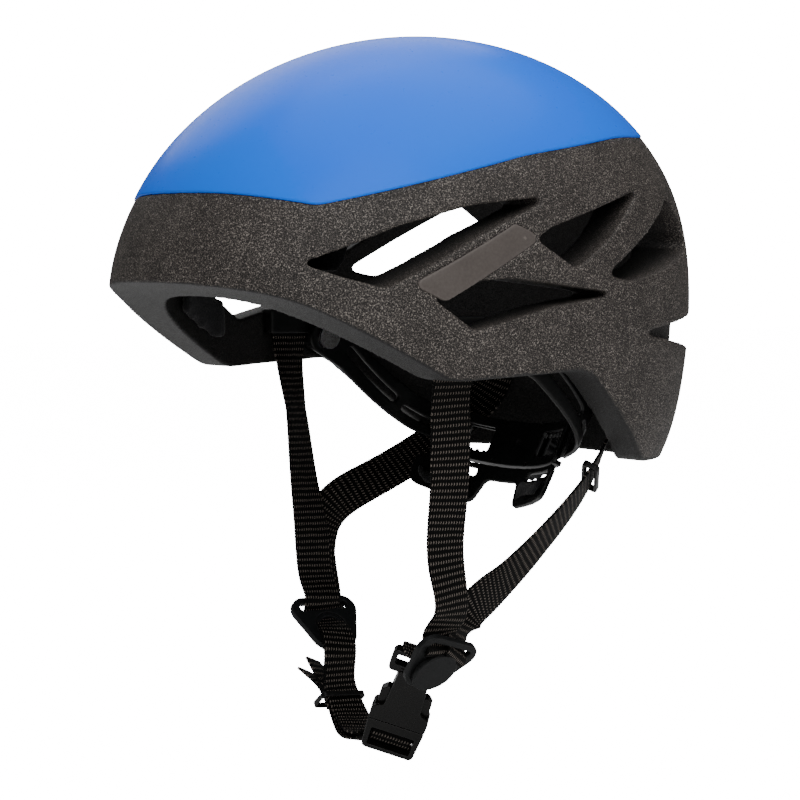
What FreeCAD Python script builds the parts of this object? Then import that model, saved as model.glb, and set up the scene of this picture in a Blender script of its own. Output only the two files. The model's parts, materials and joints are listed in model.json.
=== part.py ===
"""Climbing helmet: a foam body with a hard crown shell, an adjustable headband and a chinstrap.

Millimetres, +Z up, the brow faces -Y and the wearer's left is +X.  The origin is the head
reference point at the height of the temple rim.  Mirrored pieces are made by one function.
"""
import FreeCAD, Part
import Sketcher
import os
from functools import lru_cache
from math import cos, pi, radians, sin, sqrt

V = FreeCAD.Vector
ORIGIN, X, Y, Z = V(0, 0, 0), V(1, 0, 0), V(0, 1, 0), V(0, 0, 1)
SIDES = (("left", 1), ("right", -1))
FAR = 200.0

doc = FreeCAD.newDocument("ClimbingHelmet")
sheet = doc.addObject("Spreadsheet::Sheet", "Dims")
SUBPARTS = []

DIMENSIONS = (
    ("HalfLength", 134.0), ("HalfWidth", 113.0), ("CrownRise", 112.0), ("SkirtDrop", 170.0),
    ("CentreUp", 41.0), ("CentreBack", 1.5), ("PlanPower", 2.3), ("ShellTilt", 9.0),
    ("BrowFlare", 4.0), ("FrontWall", 26.0), ("SideWall", 22.0), ("CrownWall", 22.0),
    ("InnerSkirtDrop", 185.0), ("CapProud", 0.7), ("CapThickness", 2.1), ("CapSeat", 0.2),
    ("BadgeDepth", 1.6), ("GrooveDepth", 8.0), ("PadThickness", 5.0), ("PadGap", 0.4),
    ("PivotBack", 10.0), ("PivotUp", 14.0), ("HeadbandSlope", 28.0), ("PivotSpan", 79.4),
    ("BandThickness", 2.2), ("NapeRadius", 110.0), ("NapeReach", 77.0), ("DialDrop", 17.0),
    ("RivetRadius", 3.0), ("RivetHeadRadius", 5.6), ("RunningGap", 0.06), ("BossRadius", 7.0),
    ("PinionPitchRadius", 5.0), ("PinionHubRadius", 3.6), ("PinionTipWidth", 1.3),
    ("PinionWidth", 3.2), ("ShaftRadius", 2.5), ("StubRadius", 1.5), ("DialRadius", 12.0),
    ("DialWidth", 8.6), ("DialGripRadius", 1.5), ("WasherRadius", 6.5), ("WasherThickness", 0.5),
    ("ScrewRadius", 0.74), ("ScrewHeadRadius", 1.1), ("WebWidth", 19.0), ("WebThickness", 1.4),
    ("DividerThickness", 3.0), ("DividerHoleRadius", 8.4), ("ButtonRadius", 10.8),
    ("ButtonThickness", 2.4), ("GuideLength", 3.0), ("BuckleThickness", 8.0), ("BuckleBarThickness", 4.6),
    ("BuckleCavity", 4.8), ("ProngThickness", 4.4), ("ProngRootRadius", 1.6),
    ("KeeperLength", 2.6),
)
for row, (alias, value) in enumerate(DIMENSIONS, start=1):
    sheet.set("A%d" % row, alias)
    sheet.set("B%d" % row, str(value))
    sheet.setAlias("B%d" % row, alias)
doc.recompute()


def size(alias):
    """Return a driving dimension from the sheet."""
    return float(sheet.get(alias))


# ---------------------------------------------------------------- outlines and frames

def frame(origin, across, up):
    """Placement whose local X is across and whose local Y is up, as near as it can be."""
    e1 = V(across).normalize()
    e3 = e1.cross(up).normalize()
    e2 = e3.cross(e1)
    return FreeCAD.Placement(FreeCAD.Matrix(
        e1.x, e2.x, e3.x, origin.x, e1.y, e2.y, e3.y, origin.y,
        e1.z, e2.z, e3.z, origin.z, 0, 0, 0, 1))


FROM_SIDE = frame(ORIGIN, Y, Z)      # local X is helmet Y, local Y is helmet Z, depth is helmet X
FROM_TOP = frame(ORIGIN, X, Y)


def rounded_edges(corners):
    """Lines and arcs of a closed outline of (x, y, radius) corners, in the XY plane."""
    points = [V(c[0], c[1], 0) for c in corners]
    radii = [c[2] if len(c) > 2 else 0.0 for c in corners]
    count = len(points)
    ends, arcs = [], []
    for i, point in enumerate(points):
        back = (points[i - 1] - point).normalize()
        ahead = (points[(i + 1) % count] - point).normalize()
        half = back.getAngle(ahead) / 2
        if radii[i] == 0 or half > pi / 2 - 1e-3:
            ends.append((point, point))
            arcs.append(None)
            continue
        run = radii[i] * cos(half) / sin(half)
        middle = point + (back + ahead).normalize() * (radii[i] / sin(half) - radii[i])
        ends.append((point + back * run, point + ahead * run))
        arcs.append(Part.Arc(ends[i][0], middle, ends[i][1]))
    edges = []
    for i in range(count):
        if arcs[i]:
            edges.append(arcs[i])
        start, end = ends[i][1], ends[(i + 1) % count][0]
        if start.distanceToPoint(end) > 1e-6:
            edges.append(Part.LineSegment(start, end))
    return edges


def prism(corners, low, high, placement=None, holes=()):
    """Solid between two depths of a frame with a rounded outline, less its holes."""
    def face(outline):
        return Part.Face(Part.Wire([edge.toShape() for edge in rounded_edges(outline)]))
    plate = face(corners)
    if holes:
        plate = plate.cut([face(hole) for hole in holes])
    plate.translate(Z * low)
    solid = plate.extrude(Z * (high - low))
    if placement:
        solid.Placement = placement
    return solid


def slot(start, end, width):
    """Outline of a round-ended slot between two points."""
    along = V(end[0] - start[0], end[1] - start[1], 0).normalize() * (width / 2)
    side = V(-along.y, along.x, 0)
    reach = width / 2 - 0.01
    return [(start[0] - along.x + s * side.x, start[1] - along.y + s * side.y, reach)
            for s in (1, -1)] + \
           [(end[0] + along.x + s * side.x, end[1] + along.y + s * side.y, reach)
            for s in (-1, 1)]


def box(low, high):
    return Part.makeBox(high[0] - low[0], high[1] - low[1], high[2] - low[2], V(*low))


def on_side(shape, side):
    """A left-hand shape, or its mirror image for the right."""
    return shape if side > 0 else shape.mirror(ORIGIN, X)


def feature(label, shape, placement=None):
    """Sub-part whose shape is made by code."""
    item = doc.addObject("Part::Feature", label)
    item.Label = label
    item.Shape = shape
    if placement:
        item.Placement = placement
    SUBPARTS.append(item)
    return item


# ---------------------------------------------------------------- the helmet's surfaces

SECTION_ANGLES = (15, 30, 45, 58, 69, 78, 85)
SECTION_POINTS = 24
SKIRT_LEVELS = (-125.0, -90.0, -60.0, -30.0, 0.0)


def shell_point(turn, level, grow):
    """Point of the shell's surface moved out by grow = (length, width, height, skirt drop)."""
    rise = size("CrownRise") + grow[2] if level > 0 else grow[3]
    shrink = sqrt(max(0.0, 1 - (level / rise) ** 2))
    power = size("PlanPower")
    reach = shrink / ((abs(cos(turn)) / (size("HalfWidth") + grow[1])) ** power
                      + (abs(sin(turn)) / (size("HalfLength") + grow[0])) ** power) ** (1 / power)
    across, along = reach * cos(turn), reach * sin(turn)
    lowness = min(max((54 - level) / 60, 0), 1.2)
    along -= size("BrowFlare") * lowness * min(max(-along / 120, 0), 1) ** 2
    tilt = radians(size("ShellTilt"))
    return V(across, along * cos(tilt) - level * sin(tilt) + size("CentreBack"),
             along * sin(tilt) + level * cos(tilt) + size("CentreUp"))


@lru_cache(maxsize=None)
def shell_solid(length, width=None, height=None, skirt=None):
    """Closed dome, grown by length, width and height beyond the outer foam surface."""
    width = length if width is None else width
    height = length if height is None else height
    grow = (length, width, height, (size("SkirtDrop") + length) if skirt is None else skirt)
    crown = size("CrownRise") + height
    levels = SKIRT_LEVELS + tuple(crown * sin(radians(a)) for a in SECTION_ANGLES)
    wires = []
    for level in levels:
        curve = Part.BSplineCurve()
        curve.interpolate(Points=[shell_point(2 * pi * i / SECTION_POINTS, level, grow)
                                  for i in range(SECTION_POINTS)], PeriodicFlag=True)
        wires.append(Part.Wire([curve.toShape()]))
    apex = shell_point(0, crown - 1e-6, grow)
    return Part.makeLoft(wires + [Part.Vertex(apex)], True, False)


def outer(grow=0.0):
    return shell_solid(grow)


def inner(grow=0.0):
    """Dome of the head cavity; a negative grow moves further in."""
    return shell_solid(grow - size("FrontWall"), grow - size("SideWall"),
                       grow - size("CrownWall"), size("InnerSkirtDrop") + grow)


def layer(high, low):
    """Skin between two offsets of the outer surface."""
    return outer(high).cut(outer(low))


# Side-view outlines, as (y, z, corner radius).
RIM = [(-160, 48), (-108, 36.5, 90), (-44, 0.2, 18), (26, 4.2, 18), (74, -39.5, 12), (160, -41)]
CAP_EDGE = [(-160, 84), (-118, 81.2, 60), (-94, 75.2, 10), (0, 97.5, 200), (60, 107, 150), (160, 111)]
BADGE = [(-63.5, 41.8, 2.5), (-49, 34.3, 4), (-1, 61.5, 3), (-14, 67.5, 3)]
VENTS = {
    "front": [(-110, 49, 1.5), (-92, 43, 10), (-74, 38.6, 5), (-28, 63.6, 40), (12, 80.5, 1.5),
              (-32, 76, 30), (-66, 67, 30)],
    "low": [(-56, 35.5, 1.5), (-36, 21.5, 5), (5, 32, 30), (45, 37.2, 1.2), (-18, 44.5, 10),
            (-38, 43, 5)],
    "upper": [(-5, 60.5, 2), (16.5, 47.5, 3), (38, 61, 20), (66, 85, 1.2), (4, 66, 4)],
}
# The rear vent is drawn on a plane that faces out and back.
REAR_VENT_CENTRE, REAR_VENT_FACING = V(98.4, 75.8, 57.5), 25.0
REAR_VENT = [(-47, -13, 2), (-30, -16.5, 6), (-4, -11.5, 12), (45.5, -0.5, 4), (36, 13, 6),
             (20, 26, 1.5), (-19, 3.5, 12)]
VENT_TAPER = 0.8


def tapered_vent(corners, placement, near, far):
    """Opening that narrows from its full outline at near to a smaller one at far."""
    centre = (sum(c[0] for c in corners) / len(corners), sum(c[1] for c in corners) / len(corners))
    small = [(centre[0] + (c[0] - centre[0]) * VENT_TAPER, centre[1] + (c[1] - centre[1]) * VENT_TAPER,
              c[2] * VENT_TAPER) for c in corners]
    wires = []
    for outline, depth in ((small, far), (corners, near)):
        wire = Part.Wire([edge.toShape() for edge in rounded_edges(outline)])
        wire.translate(Z * depth)
        wires.append(wire)
    solid = Part.makeLoft(wires, True, True)
    solid.Placement = placement
    return solid


def all_vents():
    facing = radians(REAR_VENT_FACING)
    rear = frame(REAR_VENT_CENTRE, V(-sin(facing), cos(facing), 0), Z)
    cuts = []
    for _, side in SIDES:
        for name in VENTS:
            cuts.append(on_side(tapered_vent(VENTS[name], FROM_SIDE, 120, 58), side))
        cuts.append(on_side(tapered_vent(REAR_VENT, rear, 16, -34), side))
    return cuts


def above_cap_edge():
    return prism(CAP_EDGE + [(160, FAR), (-160, FAR)], -FAR, FAR, FROM_SIDE)


def below_rim():
    return prism(RIM + [(160, -FAR), (-160, -FAR)], -FAR, FAR, FROM_SIDE)


def rear_groove():
    wedge = prism([(56, 19.6, 1), (160, 5.0), (160, 32.5)], -FAR, FAR, FROM_SIDE)
    return wedge.cut(outer(-size("GrooveDepth")))


# ---------------------------------------------------------------- foam, crown shell, pads

FRONT_ANCHOR_BACK = {"left": -28.0, "right": -8.0}    # where each front strap leaves the wall
REAR_ANCHOR = V(53, 94, 2)


def front_anchor_block(name, side):
    """Block in the side wall that the front webbing is looped into."""
    y = FRONT_ANCHOR_BACK[name]
    return on_side(box((83.0, y - 10.8, 16), (92.0, y + 10.8, 28)), side)


def rear_anchor_block(side):
    at = REAR_ANCHOR
    block = box((-13, -5, -5), (13, 9, 8))
    block.Placement = FreeCAD.Placement(at, FreeCAD.Rotation(Z, -30))
    return on_side(block, side)


def web_slot(origin, across, along, depth):
    """Slot for one layer of webbing, reaching depth back from its mouth at origin."""
    wide, thick = size("WebWidth") / 2 + 0.4, size("WebThickness") / 2 + 0.6
    cut = box((-wide, -1.0, -thick), (wide, depth, thick))
    cut.Placement = frame(origin, across, along)
    return cut


def boss_pocket(side):
    at = V(size("PivotSpan") + 1.4, size("PivotBack"), size("PivotUp"))
    return on_side(Part.makeCylinder(size("BossRadius") + 0.05, 14, at, X), side)


def make_foam():
    cuts = [inner(), below_rim(), layer(6, -size("CapThickness") + size("CapProud") - size("CapSeat"))
            .common(above_cap_edge()), rear_groove()]
    cuts += all_vents()
    for name, side in SIDES:
        badge = prism(BADGE, 60, 130, FROM_SIDE).common(layer(6, -size("BadgeDepth") - 0.2))
        cuts += [on_side(badge, side), front_anchor_block(name, side), rear_anchor_block(side),
                 boss_pocket(side)]
    foam = outer()
    for cut in cuts:
        foam = foam.cut(cut)
    feature("foam_body", max(foam.Solids, key=lambda s: s.Volume))


def make_cap():
    skin = layer(size("CapProud"), size("CapProud") - size("CapThickness"))
    feature("crown_shell", skin.common(above_cap_edge()))


def make_badges():
    plate = prism(BADGE, 60, 130, FROM_SIDE).common(layer(0.0, -size("BadgeDepth")))
    for name, side in SIDES:
        feature("badge_plate_" + name, on_side(plate, side))


def make_pads():
    gap = size("PadGap")
    lining = inner(-gap).cut(inner(-gap - size("PadThickness")))
    brow = prism([(-140, 45, 2), (-66, 45, 5), (-66, 61, 5), (-140, 61, 2)], -66, 66, FROM_SIDE)
    feature("brow_pad", lining.common(brow))
    crown = prism([(-24, -58, 20), (24, -58, 20), (24, 58, 20), (-24, 58, 20)], 60, FAR, FROM_TOP)
    feature("crown_pad", lining.common(crown))
    temple = prism([(-78, 27, 5), (-45, 9, 5), (-45, 33, 8), (-78, 42, 8)], 60, 110, FROM_SIDE)
    for name, side in SIDES:
        feature("side_pad_" + name, on_side(lining.common(temple), side))


# ---------------------------------------------------------------- webbing

def web_path(stations, width, thickness, steps=3):
    """Flat webbing lofted through (point, width direction) stations, straight-sided between."""
    curve = Part.BSplineCurve()
    curve.interpolate(Points=[point for point, _ in stations])
    marks = [curve.parameter(point) for point, _ in stations]
    wires = []
    for i in range(len(stations) - 1):
        last = i == len(stations) - 2
        for k in range(steps + (1 if last else 0)):
            share = k / steps
            where = marks[i] + (marks[i + 1] - marks[i]) * share
            ahead = V(*curve.tangent(where)[0])
            across = stations[i][1] * (1 - share) + stations[i + 1][1] * share
            across = (across - ahead * across.dot(ahead)).normalize() * (width / 2)
            proud = ahead.cross(across).normalize() * (thickness / 2)
            centre = curve.value(where)
            corners = [centre + across + proud, centre - across + proud,
                       centre - across - proud, centre + across - proud]
            wires.append(Part.makePolygon(corners + corners[:1]))
    return Part.makeLoft(wires, True, True)


# Divider frames: centre, direction across the top edge, and up the plane.
DIVIDERS = {
    "left": (V(63.6, -23.0, -122.8), V(-0.22, 0.94, -0.26), V(0.64, 0.22, 0.77)),
    "right": (V(-51.9, -6.3, -119), V(0.0, 1.0, 0.0), V(-0.64, 0.0, 0.77)),
}
INWARD = {"left": -1.0, "right": 1.0}


def divider_frame_of(name):
    """Frame whose local Z points out of the wearer's cheek."""
    centre, across, up = DIVIDERS[name]
    return frame(centre, across * INWARD[name] * -1.0, up)


def in_divider(name, x, y, z):
    return divider_frame_of(name).multVec(V(x, y, z))


def divider_axis(name, x, y, z):
    return divider_frame_of(name).Rotation.multVec(V(x, y, z))


FRONT_WEB_SHIFT = {"left": -5.5, "right": 1.0}      # where the front leg crosses the divider's top bar


def make_front_webbing():
    routes = {
        "left": [(V(85.2, -28, 25), Y), (V(84.9, -28, 12), Y), (V(82.0, -28.2, -2), V(0.05, 1, 0)),
                 (V(79.3, -27, -26), V(0.15, 1, 0)), (V(77, -26.6, -53), V(0.1, 1, 0)),
                 (V(75, -26.5, -82), V(0, 1, 0))],
        "right": [(V(-85.2, -8, 25), Y), (V(-85.2, -8, 14), Y), (V(-84, -8, 2), V(-0.3, 0.9, 0)),
                  (V(-80, -7, -20), V(-0.5, 0.86, 0)), (V(-74.5, -6, -53), V(-0.3, 0.95, 0)),
                  (V(-67, -6, -84), V(0, 1, 0))],
    }
    for name, side in SIDES:
        along = divider_axis(name, side * 1.0, 0, 0)
        shift = FRONT_WEB_SHIFT[name]
        tail = [(in_divider(name, shift - 0.6, 19, -3.4), along),
                (in_divider(name, shift, 11, -3.1), along),
                (in_divider(name, shift, 6.4, -1.5), along)]
        feature("webbing_front_" + name,
                web_path(routes[name] + tail, size("WebWidth"), size("WebThickness")))


GUIDES = {
    "left": (V(63.5, 62, -47), V(-0.70, 0.52, -0.49), V(-0.1, 0.66, 0.74)),
    "right": (V(-63.0, 62.6, -38), V(0.66, 0.29, -0.69), V(0.235, 0.80, 0.545)),
}


def make_rear_webbing():
    for name, side in SIDES:
        at, across, _ = GUIDES[name]
        top = V(side * (REAR_ANCHOR.x - 0.5), REAR_ANCHOR.y - 1.5, REAR_ANCHOR.z - 1)
        start = [(top, V(-side * 0.87, 0.5, 0)), (top - Z * 6, V(-side * 0.87, 0.5, 0)),
                 (V(side * 55.5, 84, -20), V(-side * 0.87, 0.45, -0.2))]
        if name == "left":
            middle = [(V(63.5, 34, -75), V(-0.5, 0.6, -0.55)), (V(61.5, 10, -95), V(-0.3, 0.6, -0.7)),
                      (in_divider(name, 7.5, 19.0, -8.5), V(-0.1, 0.5, -0.85)),
                      (in_divider(name, 6.5, 12.0, -7.0), V(-0.1, 0.6, -0.75))]
        else:
            middle = [(V(-71, 31, -56), V(0.5, 0.5, -0.5)), (V(-76, 8, -72), V(0.2, 0.8, -0.5)),
                      (V(-74, 2, -90), V(0, 1, 0)),
                      (in_divider(name, -8.0, 18.0, 7.0), divider_axis(name, -0.75, -0.66, 0)),
                      (in_divider(name, -6.0, 9.0, 5.2), divider_axis(name, -0.75, -0.66, 0))]
        route = start + [(at, across)] + middle
        feature("webbing_rear_" + name, web_path(route, size("WebWidth"), size("WebThickness")))


def make_anchors():
    for name, side in SIDES:
        block = front_anchor_block(name, side)
        mouth = V(side * 85.2, FRONT_ANCHOR_BACK[name], 16)
        feature("strap_anchor_front_" + name, block.cut(web_slot(mouth, Y, Z, 10)))
        top = V(side * (REAR_ANCHOR.x - 0.5), REAR_ANCHOR.y - 1.5, REAR_ANCHOR.z - 5)
        cut = web_slot(top, V(-side * 0.87, 0.5, 0), Z, 9)
        feature("strap_anchor_rear_" + name, rear_anchor_block(side).cut(cut))


# ---------------------------------------------------------------- part design helpers

def new_body(label, placement=None):
    item = doc.addObject("PartDesign::Body", label)
    item.Label = label
    if placement:
        item.Placement = placement
    SUBPARTS.append(item)
    return item


def origin_plane(item, role="XY_Plane"):
    return next(plane for plane in item.Origin.OriginFeatures if plane.Role == role)


def new_sketch(item, name, lift=0.0):
    sketch = item.newObject("Sketcher::SketchObject", name)
    sketch.AttachmentSupport = (origin_plane(item), [""])
    sketch.MapMode = "FlatFace"
    sketch.AttachmentOffset = FreeCAD.Placement(V(0, 0, lift), FreeCAD.Rotation())
    return sketch


def draw(sketch, corners):
    for edge in rounded_edges(corners):
        sketch.addGeometry(edge, False)


def draw_circle(sketch, x, y, alias):
    index = sketch.addGeometry(Part.Circle(V(x, y, 0), Z, size(alias)), False)
    constraint = sketch.addConstraint(Sketcher.Constraint("Radius", index, size(alias)))
    sketch.setExpression("Constraints[%d]" % constraint, "Dims." + alias)


def pad(item, sketch, expression, midplane=False):
    step = item.newObject("PartDesign::Pad", sketch.Name + "Pad")
    step.Profile = sketch
    step.Midplane = midplane
    step.setExpression("Length", expression)
    return step


def pocket(item, sketch, expression, midplane=True):
    step = item.newObject("PartDesign::Pocket", sketch.Name + "Pocket")
    step.Profile = sketch
    step.Midplane = midplane
    step.setExpression("Length", expression)
    return step


# ---------------------------------------------------------------- dividers and guides

DIVIDER_OUTLINE = [(-21, 12, 7), (21, 12, 7), (9.5, -17, 9), (-9.5, -17, 9)]
DIVIDER_WINDOW = [(-15.5, 8.8, 2), (15.5, 8.8, 2), (12, 4.6, 1.6), (-12, 4.6, 1.6)]
DIVIDER_HOLE_DOWN = -5.5


def make_dividers():
    for name, _ in SIDES:
        item = new_body("divider_frame_" + name, divider_frame_of(name))
        plate = new_sketch(item, "DividerPlate_" + name)
        draw(plate, DIVIDER_OUTLINE)
        draw(plate, DIVIDER_WINDOW)
        draw_circle(plate, 0, DIVIDER_HOLE_DOWN, "DividerHoleRadius")
        pad(item, plate, "Dims.DividerThickness")
        cap = new_body("clamp_button_" + name, divider_frame_of(name))
        disc = new_sketch(cap, "ButtonDisc_" + name, size("DividerThickness") + 0.2)
        draw_circle(disc, 0, DIVIDER_HOLE_DOWN, "ButtonRadius")
        pad(cap, disc, "Dims.ButtonThickness")
        shank = new_sketch(cap, "ButtonShank_" + name, 0.3)
        centre = V(0, DIVIDER_HOLE_DOWN, 0)
        shank.addGeometry(Part.Circle(centre, Z, size("DividerHoleRadius") - 0.2), False)
        shank.addGeometry(Part.Circle(centre, Z, size("DividerHoleRadius") - 2.2), False)
        pad(cap, shank, "Dims.DividerThickness")


def make_guides():
    for name, _ in SIDES:
        at, across, along = GUIDES[name]
        item = new_body("strap_guide_" + name, frame(at, across, V(along).cross(across)))
        plate = new_sketch(item, "GuidePlate_" + name)
        draw(plate, [(-12.4, -4.0, 2), (12.4, -4.0, 2), (12.4, 4.0, 2), (-12.4, 4.0, 2)])
        draw(plate, [(-10.8, -2.4, 1), (10.8, -2.4, 1), (10.8, 2.4, 1), (-10.8, 2.4, 1)])
        pad(item, plate, "Dims.GuideLength", True)


# ---------------------------------------------------------------- headband

def headband_frame():
    """Local X across, Y back along the band and Z up from it; the origin is on the pivot axis."""
    slope = radians(size("HeadbandSlope"))
    return frame(V(0, size("PivotBack"), size("PivotUp")), X, V(0, cos(slope), -sin(slope)))


def nape_ring(low, high):
    """Curved layer of the nape, between two heights out from its inner face."""
    centre = V(0, size("NapeReach") - size("NapeRadius"), -80)
    base = size("NapeRadius") - 3
    ring = Part.makeCylinder(base + high, 120, centre).cut(Part.makeCylinder(base + low, 120, centre))
    return ring.common(box((-90, 20, -80), (90, 120, 40)))


IN_NAPE = frame(ORIGIN, X, Z)        # local X across, local Y up; depth runs forward


def nape_plate(low, high, corners, holes=()):
    """Piece of the nape ring with a front-view outline."""
    return nape_ring(low, high).common(prism(corners, -120, -20, IN_NAPE, holes))


def mirrored(corners):
    return [(-c[0],) + tuple(c[1:]) for c in reversed(corners)]


ARM_PATH = [(78, -9), (79.5, 12), (79, 32), (74.5, 48), (66, 59), (54, 66.8), (40, 73.2)]
ARM_OUTLINE = [(-10, 9, 8), (12, 8.5, 12), (58, -4, 12), (84, -9.5, 2), (84, -23.5, 2),
               (58, -21, 14), (14, -9.5, 14), (-10, -9, 8)]
ARM_SLOTS = (slot((16, 0.2), (46, -9.4), 4.6), slot((53, -12.8), (64, -15.2), 3.6))


def ribbon(path, thickness, low, high):
    """Upright band that follows a smooth plan path."""
    curve = Part.BSplineCurve()
    curve.interpolate(Points=[V(x, y, 0) for x, y in path])
    sides = ([], [])
    steps = 4 * (len(path) - 1)
    for i in range(steps + 1):
        where = curve.FirstParameter + (curve.LastParameter - curve.FirstParameter) * i / steps
        normal = V(*curve.tangent(where)[0]).cross(Z)
        for points, sign in zip(sides, (0.5, -0.5)):
            points.append(curve.value(where) + normal * (thickness * sign))
    outlines = []
    for points in sides:
        edge = Part.BSplineCurve()
        edge.interpolate(Points=points)
        outlines.append(edge.toShape())
    ends = [Part.LineSegment(sides[0][k], sides[1][k]).toShape() for k in (0, -1)]
    face = Part.Face(Part.Wire(Part.__sortEdges__(outlines + ends)))
    face.translate(Z * low)
    return face.extrude(Z * (high - low))


def make_arms():
    band = ribbon(ARM_PATH, size("BandThickness"), -60, 40)
    shape = band.common(prism(ARM_OUTLINE, 20, 120, FROM_SIDE, ARM_SLOTS))
    hole = Part.makeCylinder(size("RivetRadius") + size("RunningGap"), 40, V(60, 0, 0), X)
    shape = shape.cut(hole)
    for name, side in SIDES:
        feature("headband_arm_" + name, on_side(shape, side), headband_frame())


def make_pivots():
    y, z, span = size("PivotBack"), size("PivotUp"), size("PivotSpan")
    for name, side in SIDES:
        def at(x):
            return V(side * x, y, z)
        boss = doc.addObject("Part::Cylinder", "boss_" + name)
        bore = doc.addObject("Part::Cylinder", "boss_bore_" + name)
        boss.setExpression("Radius", "Dims.BossRadius")
        bore.setExpression("Radius", "Dims.RivetRadius")
        turn = FreeCAD.Rotation(Z, V(side, 0, 0))
        for item in (boss, bore):
            item.Height = 9.0
            item.Placement = FreeCAD.Placement(at(span + 1.8), turn)
        mount = doc.addObject("Part::Cut", "pivot_mount_" + name)
        mount.Label = "pivot_mount_" + name
        mount.Base, mount.Tool = boss, bore
        SUBPARTS.append(mount)
        shaft = doc.addObject("Part::Cylinder", "shaft_" + name)
        head = doc.addObject("Part::Cylinder", "rivet_head_" + name)
        shaft.setExpression("Radius", "Dims.RivetRadius")
        head.setExpression("Radius", "Dims.RivetHeadRadius")
        shaft.Height, head.Height = 11.0, 1.8
        shaft.Placement = FreeCAD.Placement(at(span - 3.4), turn)
        head.Placement = FreeCAD.Placement(at(span - 4.2), turn)
        rivet = doc.addObject("Part::Fuse", "pivot_rivet_" + name)
        rivet.Label = "pivot_rivet_" + name
        rivet.Base, rivet.Tool = shaft, head
        SUBPARTS.append(rivet)


# Layers of the adjuster, out from the nape's inner face.
BASE_LAYER, RAIL_LAYER = (0.0, 1.6), (1.6, 5.1)
RACK_LAYERS = {"left": (1.9, 3.3), "right": (3.6, 5.0)}
COVER_LAYER = (5.3, 7.0)
RACK_HALF_HEIGHT = 8.6
HOUSING_HALF_HEIGHT = 11.4


def dial_level():
    return -size("DialDrop")


def make_adjuster_base():
    mid, half = dial_level(), HOUSING_HALF_HEIGHT
    window = [(19, mid - 6.5, 2), (43, mid - 6.5, 2), (43, mid + 6.5, 2), (19, mid + 6.5, 2)]
    outline = [(-49, mid - half, 4), (49, mid - half, 4), (49, mid + half, 4), (-49, mid + half, 4)]
    plate = nape_plate(*BASE_LAYER, outline, (window, mirrored(window)))
    for low, high in ((-half, -half + 2.2), (half - 2.2, half)):
        rail = [(-47, mid + low), (47, mid + low), (47, mid + high), (-47, mid + high)]
        plate = plate.fuse(nape_plate(*RAIL_LAYER, rail))
    stub = Part.makeCylinder(size("StubRadius") + size("RunningGap"), 40, V(0, 50, mid), Y)
    feature("adjuster_base", plate.cut([stub] + screw_holes()).removeSplitter(), headband_frame())


def screw_places():
    return [V(x, 0, dial_level() + z) for x in (-13.5, 13.5)
            for z in (-HOUSING_HALF_HEIGHT + 1.1, HOUSING_HALF_HEIGHT - 1.1)]


def screw_holes():
    return [Part.makeCylinder(0.75, 60, V(place.x, 50, place.z), Y) for place in screw_places()]


def make_adjuster_cover():
    mid, half = dial_level(), HOUSING_HALF_HEIGHT
    outline = [(-17, mid - half, 6), (17, mid - half, 6), (17, mid + half, 6), (-17, mid + half, 6)]
    plate = nape_plate(*COVER_LAYER, outline)
    shaft = Part.makeCylinder(size("ShaftRadius") + size("RunningGap"), 60, V(0, 50, mid), Y)
    feature("adjuster_cover", plate.cut([shaft] + screw_holes()), headband_frame())


def make_cover_screws():
    seat = size("NapeReach") - 3 + COVER_LAYER[1]
    screws = []
    for place in screw_places():
        drop = size("NapeRadius") - sqrt(size("NapeRadius") ** 2 - place.x ** 2)
        head_at = V(place.x, seat - drop + 0.35, place.z)
        shank = Part.makeCylinder(size("ScrewRadius"), 5.2, head_at - Y * 5.2, Y)
        screws.append(shank.fuse(Part.makeCylinder(size("ScrewHeadRadius"), 0.9, head_at, Y)))
    feature("cover_screws", Part.makeCompound(screws), headband_frame())


def rack_slot(first, last):
    """Slot with teeth on its upper edge; a gap between teeth is centred on x = 0."""
    mid, pitch_line = dial_level(), dial_level() + size("PinionPitchRadius")
    pitch = 2 * pi * size("PinionPitchRadius") / 8
    root, tip = pitch_line + 1.25, pitch_line - 0.45
    corners = [(first, mid - 6.3, 0.5), (last, mid - 6.3, 0.5), (last, root)]
    number = int(last / pitch)
    while (number - 0.5) * pitch > last - 1.2:
        number -= 1
    while (number - 0.5) * pitch > first + 1.2:
        middle = (number - 0.5) * pitch
        corners += [(middle + 0.8, root), (middle + 0.4, tip), (middle - 0.4, tip), (middle - 0.8, root)]
        number -= 1
    return corners + [(first, root)]


def make_racks():
    mid, half = dial_level(), RACK_HALF_HEIGHT
    outline = [(-15, mid - half, 3), (56, mid - half, 5), (56, mid + half, 5), (-15, mid + half, 3)]
    toothed = rack_slot(-10.5, 45)
    feature("rack_left", nape_plate(*RACK_LAYERS["left"], outline, (toothed,)), headband_frame())
    turned = [(-x, 2 * mid - z) + tuple(r) for x, z, *r in toothed]
    feature("rack_right", nape_plate(*RACK_LAYERS["right"], mirrored(outline), (turned,)),
            headband_frame())


def dial_frame(depth):
    """Frame on the dial's axis with local Z pointing back, away from the head."""
    base = headband_frame()
    at = V(0, size("NapeReach") - 3 + depth, dial_level())
    return base.multiply(FreeCAD.Placement(at, FreeCAD.Rotation(X, -90)))


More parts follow.
